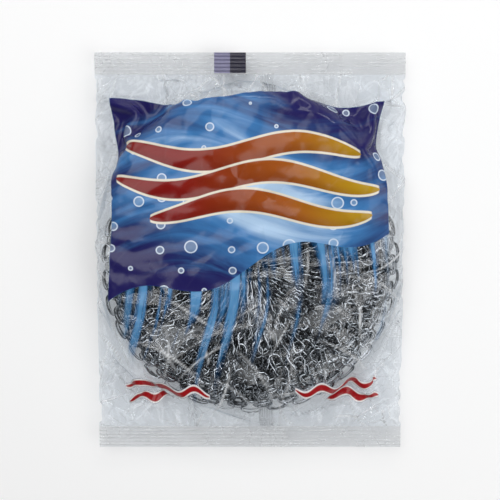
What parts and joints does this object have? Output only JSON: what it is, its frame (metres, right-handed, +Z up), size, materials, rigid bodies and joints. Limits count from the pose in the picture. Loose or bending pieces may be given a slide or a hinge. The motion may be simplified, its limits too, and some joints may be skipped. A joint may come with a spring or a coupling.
{
  "type": "pot scrubber",
  "caption": "Flat round scouring pad of knitted steel wire with a looped rim, sealed in a clear printed film wrap with ribbed end seals.",
  "frame": {"origin": "on the surface that the wrap lies on, below the middle of the wrap", "axes": "+X across the wrap to the right seen from the front, +Y along the wrap towards the top seal, +Z up through the printed front"},
  "size_m": [0.1274, 0.165, 0.0196],
  "materials": {
    "steel_wire": "bright zinc-coated flat wire",
    "printed_film": "clear glossy film with a printed panel",
    "clear_film": "clear glossy film"
  },
  "bodies": {
    "wrap": {"front_film": "printed_film", "back_film_left": "clear_film", "back_film_right": "clear_film", "back_seam": "clear_film"},
    "scrubber": {"outer_turn": "steel_wire", "second_turn": "steel_wire", "third_turn": "steel_wire", "core_roll": "steel_wire", "tail_tuck": "steel_wire", "tie_wire": "steel_wire"},
    "top_seal": {"top_crimp": "clear_film"},
    "bottom_seal": {"bottom_crimp": "clear_film"}
  },
  "joints": [
    {"name": "scrubber_shift", "type": "slide", "parent": "wrap", "child": "scrubber", "axis": [0, 1, 0], "range_m": [-0.0005, 0.0105]},
    {"name": "top_seal_fold", "type": "hinge", "parent": "wrap", "child": "top_seal", "pos_m": [0, 0.0735, 0.006], "axis": [1, 0, 0], "range_deg": [-90, 90], "stiffness_Nm_per_rad": 0.00002},
    {"name": "bottom_seal_fold", "type": "hinge", "parent": "wrap", "child": "bottom_seal", "pos_m": [0, -0.0735, 0.006], "axis": [-1, 0, 0], "range_deg": [-90, 90], "stiffness_Nm_per_rad": 0.00002}
  ]
}
